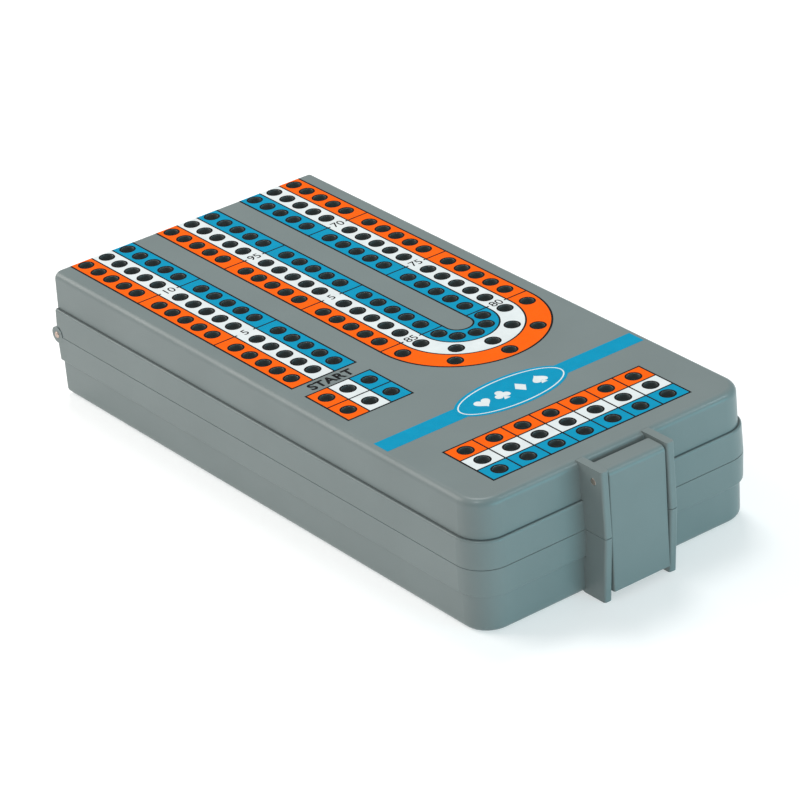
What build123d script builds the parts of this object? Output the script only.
"""Folding travel cribbage board: a hinged pocket case with a peg track moulded into both faces.

Frame: millimetres, +Z up, origin at the centre of the bounding box's underside.
The case lies closed, lid up. The hinge end is at +Y and the latch end at -Y.
"""

import os
from math import cos, radians, sin

from build123d import *

os.makedirs("parts", exist_ok=True)

# ---- driving dimensions ----
case_height = 39.0
hinge_y = 99.1  # hinge axis, in the plane where the two hinge-end faces meet when open
front_y = -101.6  # foremost point of the latch ears
hinge_face_gap = 0.15  # each hinge-end face stops this far short of the axis plane
parting_gap = 0.12  # each rim stops this far short of the parting plane

rim_width = 95.6  # across the outside at the parting plane
rim_front_y = -93.5
rim_draft = 0.3
rim_edge_r = 0.6
body_width = 93.3  # across the narrower body, just beyond the rim step
body_front_y = -92.5
body_draft = 0.3
body_corner_r = 8.2
step_depth = 11.2  # playing face to rim step
plan_corner_r = 9.2
face_edge_r = 2.1
plate_t = 2.2
cavity_width = 88.6
cavity_front_y = -90.0
cavity_corner_r = 5.0
hinge_wall_t = 4.2

hole_pitch = 6.35
group_gap = 4.74  # extra space after every fifth hole
lane_pitch = 7.2
trio_pitch = 30.0  # between the middle lanes of neighbouring three-lane tracks
first_row = 2.85  # hinge axis to the first row of holes
hole_r = 1.8
hole_mouth_r = 1.85
hole_mouth_angle = 90
hole_depth = 5.8
well_r = 2.75
well_depth = 6.6  # playing face to the closed end of a peg well
turn_lead = 6.85  # last straight row to the centre of a turn
turn_first_angle = 8.25
lid_groups = 3
base_groups = 4
lid_turn_holes = 5
base_turn_holes = 10
start_box_y = -22.6
start_box_pitch = 9.55
games_box_x = -0.5
games_box_y = -73.8
games_row_pitch = 6.9
games_column_pitch = 9.57
games_columns = 7

knuckle_r = 2.5
knuckle_clear_r = 3.1
knuckle_count = 7
knuckle_gap = 0.3
hinge_room_end = 1.0  # hinge clearance and bore run this far out past the sides
hinge_pin_r = 1.0
hinge_pin_stand = 0.3  # each peened end stands this far out of its knuckle
pin_end_r = 0.3
running_gap = 0.05
root = 0.5  # a web or shelf starts this deep inside the wall that carries it

ear_outer_x = 12.4
ear_t = 2.5
ear_root_y = -91.0
ear_top_front_y = -101.1
ear_foot_front_y = -100.0
ear_top_r = 2.2
ear_foot_r = 1.0
ear_edge_r = 0.7
latch_side_gap = 0.3
latch_pin_y = -97.6
latch_pin_z = 35.2
latch_pin_r = 1.0
latch_top_z = 38.4
latch_front_y = -100.8
latch_bend_r = 1.8
latch_barrel_r = 2.4
latch_t = 2.2
latch_flange_y = -93.2
latch_flange_r = 1.7  # rounded so that the flange clears the lid's wall as it turns
latch_foot_z = 2.6
latch_hook_y = -93.85
latch_hook_z = 8.4
latch_hook_t = 2.2
latch_gusset_t = 1.6
latch_gusset_x = 5.6
latch_gusset_inset = 1.0  # gusset tip to the shelf's edge
latch_edge_r = 0.4
latch_shelf_inset = 1.0  # shelf end to the lever's side
gusset_low_z = 4.1
gusset_high_z = 27.2

divider_t = 1.6
divider_top_z = 18.9
corner_room = 1.7  # keeps the square tuck box out of the rounded inner corner
rail_t = 2.2
rail_low_z = 13.6
groove_low_z = 15.0
groove_h = 2.0
groove_depth = 1.2
insert_gap = 0.05
rail_length = 182.0
side_rail_length = 175.0  # stops clear of the rounded inner corner
peg_rib_top_z = 10.4
cover_t = 1.4
cover_gap = 0.3
cover_length = 88.0
cover_corner_r = 3.0
cover_grip_count = 5
cover_grip_pitch = 2.4
cover_grip_start = 8.0  # cover's latch end to the first grip rib
cover_grip_length = 11.0
cover_grip_width = 1.2
cover_grip_h = 0.7

card_box_width = 65.0
card_box_length = 90.5
card_box_height = 17.6
card_box_gap = 0.4
card_board_t = 0.5
card_width = 63.5
card_length = 88.9
deck_height = 16.0
card_corner_r = 3.2

peg_length = 26.0
peg_taper_end = 12.0  # the tip's taper, the waist and the head, measured from the tip
peg_waist_start = 19.0
peg_head_start = 22.0
peg_waist_slope = 1.0
peg_waist_r = 1.0
peg_tip_bevel = 0.3
peg_head_r = 1.7
peg_shank_r = 1.5
peg_tip_r = 1.0
peg_dome_r = 1.2
peg_spacing = 5.4
peg_colours = ("orange", "white", "blue")

parting_z = case_height / 2
hinge_face_y = hinge_y - hinge_face_gap
half_depth = parting_z - parting_gap  # playing face to the rim of one half
lane_offsets = (-lane_pitch, 0, lane_pitch)
trio_centres = (-trio_pitch, 0, trio_pitch)


# ---- where the peg holes are, seen in plan ----
def straight_rows(groups):
    """Y of each row of a straight lane, in groups of five from the hinge end."""
    first_y = hinge_y - first_row
    return [first_y - i * hole_pitch - (i // 5) * group_gap for i in range(5 * groups)]


def straight_holes(groups):
    return [(x + dx, y) for x in trio_centres for dx in lane_offsets for y in straight_rows(groups)]


def turn_centre_y(groups):
    return straight_rows(groups)[-1] - turn_lead


def turn_holes(centre_x, centre_y, middle_r, count):
    """Holes round a half-circle that joins two three-lane tracks."""
    step = (180 - 2 * turn_first_angle) / (count - 1)
    angles = [radians(turn_first_angle + i * step) for i in range(count)]
    radii = [middle_r + dx for dx in lane_offsets]
    return [(centre_x + r * cos(a), centre_y - r * sin(a)) for r in radii for a in angles]


def box_holes(centre_x, centre_y, pitch_x, pitch_y, columns, rows):
    xs = [centre_x + (i - (columns - 1) / 2) * pitch_x for i in range(columns)]
    ys = [centre_y + (j - (rows - 1) / 2) * pitch_y for j in range(rows)]
    return [(x, y) for x in xs for y in ys]


lid_holes = straight_holes(lid_groups)
lid_holes += turn_holes(trio_pitch / 2, turn_centre_y(lid_groups), trio_pitch / 2, lid_turn_holes)
lid_holes += box_holes(-trio_pitch, start_box_y, lane_pitch, start_box_pitch, 3, 2)
lid_holes += box_holes(
    games_box_x, games_box_y, games_column_pitch, games_row_pitch, games_columns, 3
)

base_holes = straight_holes(base_groups)
base_holes += turn_holes(0, turn_centre_y(base_groups), trio_pitch, base_turn_holes)
base_holes.append((0, turn_centre_y(base_groups)))


# ---- one half of the case: a drafted tray with a stepped rim ----
def lid_level(depth):
    return case_height - depth


def base_level(depth):
    return depth


def plan_outline(z, width, front, back, corner_r):
    """Outline square at the hinge end and round-cornered at the latch end."""
    with BuildSketch(Plane.XY.offset(z)) as outline:
        with Locations((0, (front + back) / 2)):
            Rectangle(width, back - front)
        fillet(outline.vertices().group_by(Axis.Y)[0], corner_r)
    return outline.sketch


def open_edges(face):
    """A face's edges on the three sides away from the hinge."""
    return face.edges().filter_by(lambda edge: edge.center().Y < hinge_face_y - root)


def face_at(part, z):
    return part.faces().filter_by(Axis.Z).sort_by(lambda face: abs(face.center().Z - z))[0]


def half_tray(level):
    """Rim band, body and cavity, with the playing face at depth 0 and the rim at half_depth."""
    with BuildPart() as tray:
        rim = [
            plan_outline(level(half_depth), rim_width, rim_front_y, hinge_face_y, plan_corner_r),
            plan_outline(
                level(step_depth),
                rim_width - 2 * rim_draft,
                rim_front_y + rim_draft,
                hinge_face_y,
                plan_corner_r - rim_draft,
            ),
        ]
        loft(rim, ruled=True)
        fillet(open_edges(face_at(tray, level(step_depth))), rim_edge_r)
        body = [
            plan_outline(level(half_depth), body_width, body_front_y, hinge_face_y, body_corner_r),
            plan_outline(
                level(0),
                body_width - 2 * body_draft,
                body_front_y + body_draft,
                hinge_face_y,
                body_corner_r - body_draft,
            ),
        ]
        loft(body, ruled=True)
        fillet(open_edges(face_at(tray, level(0))), face_edge_r)
        cavity = plan_outline(
            level(half_depth), cavity_width, cavity_front_y, hinge_y - hinge_wall_t, cavity_corner_r
        )
        extrude(cavity, amount=level(plate_t) - level(half_depth), dir=(0, 0, 1), mode=Mode.SUBTRACT)
    return tray.part


def peg_wells(holes, level):
    """Closed round wells standing on the inner side of the playing plate."""
    with BuildPart() as wells:
        with BuildSketch(Plane.XY.offset(level(plate_t / 2))):
            with Locations(*holes):
                Circle(well_r)
        extrude(amount=level(well_depth) - level(plate_t / 2), dir=(0, 0, 1))
    return wells.part


def knuckle_spans():
    """X of the two ends of each hinge knuckle, from -X to +X."""
    width = (rim_width - (knuckle_count - 1) * knuckle_gap) / knuckle_count
    starts = [-rim_width / 2 + i * (width + knuckle_gap) for i in range(knuckle_count)]
    return [(start, start + width) for start in starts]


def hinge_rods(spans, radius):
    """Round bars on the hinge axis, one for each span."""
    with BuildPart() as rods:
        for start, end in spans:
            with BuildSketch(Plane.YZ.offset(start)):
                with Locations((hinge_y, parting_z)):
                    Circle(radius)
            extrude(amount=end - start)
    return rods.part


def clear_spans(spans):
    """The same spans with room at each end, running out past the sides of the case."""
    edge = rim_width / 2
    wide = []
    for start, end in spans:
        low_room = knuckle_gap if start > -edge + knuckle_gap else hinge_room_end
        high_room = knuckle_gap if end < edge - knuckle_gap else hinge_room_end
        wide.append((start - low_room, end + high_room))
    return wide


def ear_blades(points, round_at, corner_r):
    """The pair of latch ears cut to one side profile, with the corner nearest (Y, Z) rounded."""
    with BuildPart() as ears:
        for x in (-ear_outer_x, ear_outer_x - ear_t):
            with BuildSketch(Plane.YZ.offset(x)) as blade:
                with BuildLine():
                    Polyline(*points, close=True)
                make_face()
                fillet(blade.vertices().sort_by_distance((x, *round_at))[0], corner_r)
            extrude(amount=ear_t)
        lengthwise = [e for e in ears.edges() if abs(e.tangent_at(0.5).X) < 0.5]
        fillet([e for e in lengthwise if e.center().Y < ear_foot_front_y - ear_edge_r], ear_edge_r)
    return ears.part


all_knuckles = knuckle_spans()
base_knuckles = all_knuckles[0::2]
lid_knuckles = all_knuckles[1::2]
hinge_bore_half = rim_width / 2 + hinge_room_end

# ---- base: the lower half, which also holds the stores ----
base_tray = half_tray(base_level)
base_wells = peg_wells(base_holes, base_level)
base_barrels = hinge_rods(base_knuckles, knuckle_r)
base_hinge_room = hinge_rods(clear_spans(lid_knuckles), knuckle_clear_r)
hinge_bore = hinge_rods([(-hinge_bore_half, hinge_bore_half)], hinge_pin_r)
base_ears = ear_blades(
    [
        (ear_root_y, 0),
        (ear_foot_front_y, 0),
        (front_y, parting_z - parting_gap),
        (ear_root_y, parting_z - parting_gap),
    ],
    (ear_foot_front_y, 0),
    ear_foot_r,
)

with BuildPart() as base_shell:
    add(base_tray)
    add(base_wells)
    add(base_ears)
    add(base_hinge_room, mode=Mode.SUBTRACT)
    add(base_barrels)
    add(hinge_bore, mode=Mode.SUBTRACT)
    with Locations(Plane(origin=(0, 0, 0), x_dir=(1, 0, 0), z_dir=(0, 0, -1))):
        with Locations(*[(x, -y) for x, y in base_holes]):
            CounterSinkHole(hole_r, hole_mouth_r, depth=hole_depth, counter_sink_angle=hole_mouth_angle)
base_shell.part.label = "base_shell"
export_step(base_shell.part, "parts/base_shell.step")

# ---- lid: the upper half ----
lid_tray = half_tray(lid_level)
lid_wells = peg_wells(lid_holes, lid_level)
lid_barrels = hinge_rods(lid_knuckles, knuckle_r)
lid_hinge_room = hinge_rods(clear_spans(base_knuckles), knuckle_clear_r)
lid_hinge_bore = hinge_rods([(-hinge_bore_half, hinge_bore_half)], hinge_pin_r + running_gap)
lid_ears = ear_blades(
    [
        (ear_root_y, case_height),
        (ear_top_front_y, case_height),
        (front_y, parting_z + parting_gap),
        (ear_root_y, parting_z + parting_gap),
    ],
    (ear_top_front_y, case_height),
    ear_top_r,
)

with BuildPart() as lid_shell:
    add(lid_tray)
    add(lid_wells)
    add(lid_ears)
    add(lid_hinge_room, mode=Mode.SUBTRACT)
    add(lid_barrels)
    add(lid_hinge_bore, mode=Mode.SUBTRACT)
    with BuildSketch(Plane.YZ.offset(-ear_outer_x - root)):
        with Locations((latch_pin_y, latch_pin_z)):
            Circle(latch_pin_r)
    extrude(amount=2 * ear_outer_x + 2 * root, mode=Mode.SUBTRACT)
    with Locations(Plane.XY.offset(case_height)):
        with Locations(*lid_holes):
            CounterSinkHole(hole_r, hole_mouth_r, depth=hole_depth, counter_sink_angle=hole_mouth_angle)
lid_shell.part.label = "lid_shell"
export_step(lid_shell.part, "parts/lid_shell.step")

# ---- store divider: an insert that parts the base's inside and carries the cover's rails ----
card_left_x = -cavity_width / 2 + corner_room
card_front_y = cavity_front_y + corner_room
divider_left_x = card_left_x + card_box_width + card_box_gap
divider_foot_z = well_depth + insert_gap
peg_bay_left_x = divider_left_x + rail_t
peg_bay_right_x = cavity_width / 2 - insert_gap
peg_bay_centre_x = (peg_bay_left_x + peg_bay_right_x) / 2
bay_front_y = cavity_front_y + insert_gap
card_bay_back_y = card_front_y + card_box_length + card_box_gap
peg_cell_length = (card_bay_back_y - bay_front_y) / 3
groove_centre_x = (peg_bay_left_x + peg_bay_right_x - rail_t) / 2
groove_width = peg_bay_right_x - rail_t - peg_bay_left_x + 2 * groove_depth

with BuildPart() as store_divider:
    # long wall beside the cards
    with BuildSketch(Plane.XY.offset(divider_foot_z)):
        with Locations((divider_left_x, bay_front_y)):
            Rectangle(rail_t, rail_length, align=Align.MIN)
    extrude(amount=divider_top_z - divider_foot_z)
    # cross wall behind the cards
    with BuildSketch(Plane.XY.offset(divider_foot_z)):
        with Locations((divider_left_x + rail_t / 2, card_bay_back_y)):
            Rectangle(
                divider_left_x + rail_t / 2 + cavity_width / 2 - insert_gap,
                divider_t,
                align=(Align.MAX, Align.MIN),
            )
    extrude(amount=divider_top_z - divider_foot_z)
    # rail along the case's side wall, on posts at the peg ribs
    with BuildSketch(Plane.XY.offset(rail_low_z)):
        with Locations((peg_bay_right_x, bay_front_y + rail_length)):
            Rectangle(rail_t, side_rail_length, align=Align.MAX)
    extrude(amount=divider_top_z - rail_low_z)
    rib_ys = [bay_front_y + i * peg_cell_length for i in range(1, 4)]
    with BuildSketch(Plane.XY.offset(divider_foot_z)):
        for rib_y in [*rib_ys, bay_front_y + rail_length - divider_t]:
            with Locations((peg_bay_right_x, rib_y)):
                Rectangle(rail_t, divider_t, align=(Align.MAX, Align.MIN))
    extrude(amount=rail_low_z - divider_foot_z)
    # low ribs that part the peg cells
    with BuildSketch(Plane.XY.offset(divider_foot_z)):
        for rib_y in rib_ys:
            with Locations((peg_bay_right_x, rib_y)):
                Rectangle(peg_bay_right_x - peg_bay_left_x + root, divider_t, align=(Align.MAX, Align.MIN))
    extrude(amount=peg_rib_top_z - divider_foot_z)
    # groove the peg cover slides in
    with BuildSketch(Plane.XY.offset(groove_low_z)):
        with Locations((groove_centre_x, bay_front_y + rail_length / 2)):
            Rectangle(groove_width, rail_length + 2 * root)
    extrude(amount=groove_h, mode=Mode.SUBTRACT)
store_divider.part.label = "store_divider"
export_step(store_divider.part, "parts/store_divider.step")

# ---- hinge pin: one rod with a domed end at each side ----
hinge_pin_half = rim_width / 2 + hinge_pin_stand
with BuildPart() as hinge_pin:
    with BuildSketch(Plane.YZ.offset(-hinge_pin_half)):
        with Locations((hinge_y, parting_z)):
            Circle(hinge_pin_r)
    extrude(amount=2 * hinge_pin_half)
    fillet(hinge_pin.edges().filter_by(GeomType.CIRCLE), pin_end_r)
hinge_pin.part.label = "hinge_pin"
export_step(hinge_pin.part, "parts/hinge_pin.step")

# ---- latch: a bent lever on a pin between the lid's ears ----
latch_half_width = ear_outer_x - ear_t - latch_side_gap
latch_inner_y = latch_front_y + latch_t

with BuildPart() as latch_lever:
    with BuildSketch(Plane.YZ.offset(-latch_half_width)):
        with Locations((latch_front_y, latch_top_z)):
            Rectangle(latch_t, latch_top_z - latch_foot_z, align=(Align.MIN, Align.MAX))
            Rectangle(latch_flange_y - latch_front_y, latch_t, align=(Align.MIN, Align.MAX))
        with Locations((latch_pin_y, latch_pin_z)):
            Circle(latch_barrel_r)
    extrude(amount=2 * latch_half_width)
    bend = latch_lever.edges().filter_by(Axis.X).sort_by_distance((0, latch_front_y, latch_top_z))[0]
    fillet(bend, latch_bend_r)
    lip = latch_lever.edges().filter_by(Axis.X).sort_by_distance((0, latch_flange_y, latch_top_z))[0]
    fillet(lip, latch_flange_r)
    # the outer long edges, running round the bend onto the flange
    sides = latch_lever.faces().filter_by(Axis.X)
    outer_edges = [e for e in sides.edges() if e.center().Y < latch_front_y + latch_bend_r / 2]
    fillet([e for e in outer_edges if e.length > latch_bend_r], latch_edge_r)
    # shelf whose edge snaps under the base's rim
    shelf_half_width = latch_half_width - latch_shelf_inset
    with BuildSketch(Plane.YZ.offset(-shelf_half_width)):
        with Locations((latch_hook_y, latch_hook_z)):
            Rectangle(latch_hook_y - latch_inner_y + root, latch_hook_t, align=(Align.MAX, Align.MIN))
    extrude(amount=2 * shelf_half_width)
    # gussets that stiffen the shelf and the bend
    for x in (-latch_gusset_x, latch_gusset_x):
        with BuildSketch(Plane.YZ.offset(x - latch_gusset_t / 2)):
            with BuildLine():
                Polyline(
                    (latch_inner_y - root, gusset_low_z),
                    (latch_hook_y - latch_gusset_inset, latch_hook_z + root),
                    (latch_inner_y - root, gusset_high_z),
                    close=True,
                )
            make_face()
        extrude(amount=latch_gusset_t)
    with BuildSketch(Plane.YZ.offset(-latch_half_width - root)):
        with Locations((latch_pin_y, latch_pin_z)):
            Circle(latch_pin_r + running_gap)
    extrude(amount=2 * latch_half_width + 2 * root, mode=Mode.SUBTRACT)
latch_lever.part.label = "latch_lever"
export_step(latch_lever.part, "parts/latch_lever.step")

with BuildPart() as latch_pin:
    with BuildSketch(Plane.YZ.offset(-ear_outer_x)):
        with Locations((latch_pin_y, latch_pin_z)):
            Circle(latch_pin_r)
    extrude(amount=2 * ear_outer_x)
    fillet(latch_pin.edges().filter_by(GeomType.CIRCLE), pin_end_r)
latch_pin.part.label = "latch_pin"
export_step(latch_pin.part, "parts/latch_pin.step")

# ---- sliding cover over the peg bay ----
cover_width = groove_width - 2 * cover_gap
cover_front_y = bay_front_y + cover_corner_r + cover_gap
cover_z = groove_low_z + (groove_h - cover_t) / 2

with BuildPart() as peg_cover:
    with BuildSketch(Plane.XY.offset(cover_z)):
        with Locations((groove_centre_x, cover_front_y + cover_length / 2)):
            RectangleRounded(cover_width, cover_length, cover_corner_r)
    extrude(amount=cover_t)
    # raised ribs for the thumb near the latch end
    with BuildSketch(Plane.XY.offset(cover_z + cover_t / 2)):
        for i in range(cover_grip_count):
            with Locations((groove_centre_x, cover_front_y + cover_grip_start + i * cover_grip_pitch)):
                SlotOverall(cover_grip_length, cover_grip_width)
    extrude(amount=cover_t / 2 + cover_grip_h)
peg_cover.part.label = "peg_cover"
export_step(peg_cover.part, "parts/peg_cover.step")

# ---- playing cards in their tuck box, lying on the ends of the wells ----
card_centre_x = card_left_x + card_box_width / 2
card_centre_y = card_front_y + card_box_length / 2
card_box_z = well_depth + insert_gap

with BuildPart() as card_box:
    with BuildSketch(Plane.XY.offset(card_box_z)):
        with Locations((card_centre_x, card_centre_y)):
            Rectangle(card_box_width, card_box_length)
    extrude(amount=card_box_height)
    with BuildSketch(Plane.XY.offset(card_box_z + card_board_t)):
        with Locations((card_centre_x, card_centre_y)):
            Rectangle(card_box_width - 2 * card_board_t, card_box_length - 2 * card_board_t)
    extrude(amount=card_box_height - 2 * card_board_t, mode=Mode.SUBTRACT)
card_box.part.label = "card_box"
export_step(card_box.part, "parts/card_box.step")

with BuildPart() as card_deck:
    with BuildSketch(Plane.XY.offset(card_box_z + card_board_t + insert_gap)):
        with Locations((card_centre_x, card_centre_y)):
            RectangleRounded(card_width, card_length, card_corner_r)
    extrude(amount=deck_height)
card_deck.part.label = "card_deck"
export_step(card_deck.part, "parts/card_deck.step")


# ---- nine scoring pegs, three of each colour, lying head to the hinge ----
def peg_solid(x, y, z):
    """Turned peg along Y from its tip at y: tapered shank, waist and domed head."""
    with BuildPart() as peg:
        with BuildSketch(Plane.XY.offset(z)):
            with BuildLine():
                Polyline(
                    (x, y),
                    (x + peg_tip_r - peg_tip_bevel, y),
                    (x + peg_tip_r, y + peg_tip_bevel),
                    (x + peg_shank_r, y + peg_taper_end),
                    (x + peg_shank_r, y + peg_waist_start),
                    (x + peg_waist_r, y + peg_waist_start + peg_waist_slope),
                    (x + peg_waist_r, y + peg_head_start - peg_waist_slope),
                    (x + peg_head_r, y + peg_head_start),
                    (x + peg_head_r, y + peg_length),
                    (x, y + peg_length),
                    close=True,
                )
            make_face()
        revolve(axis=Axis((x, y, z), (0, 1, 0)))
        fillet(peg.edges().filter_by(GeomType.CIRCLE).sort_by(Axis.Y)[-1], peg_dome_r)
    return peg.part


peg_z = well_depth + peg_head_r + insert_gap
for cell, colour in enumerate(peg_colours):
    cell_centre_y = bay_front_y + (cell + 0.5) * peg_cell_length
    for i in range(3):
        peg = peg_solid(
            peg_bay_centre_x + (i - 1) * peg_spacing, cell_centre_y - peg_length / 2, peg_z
        )
        peg.label = f"peg_{colour}_{i + 1}"
        export_step(peg, f"parts/peg_{colour}_{i + 1}.step")
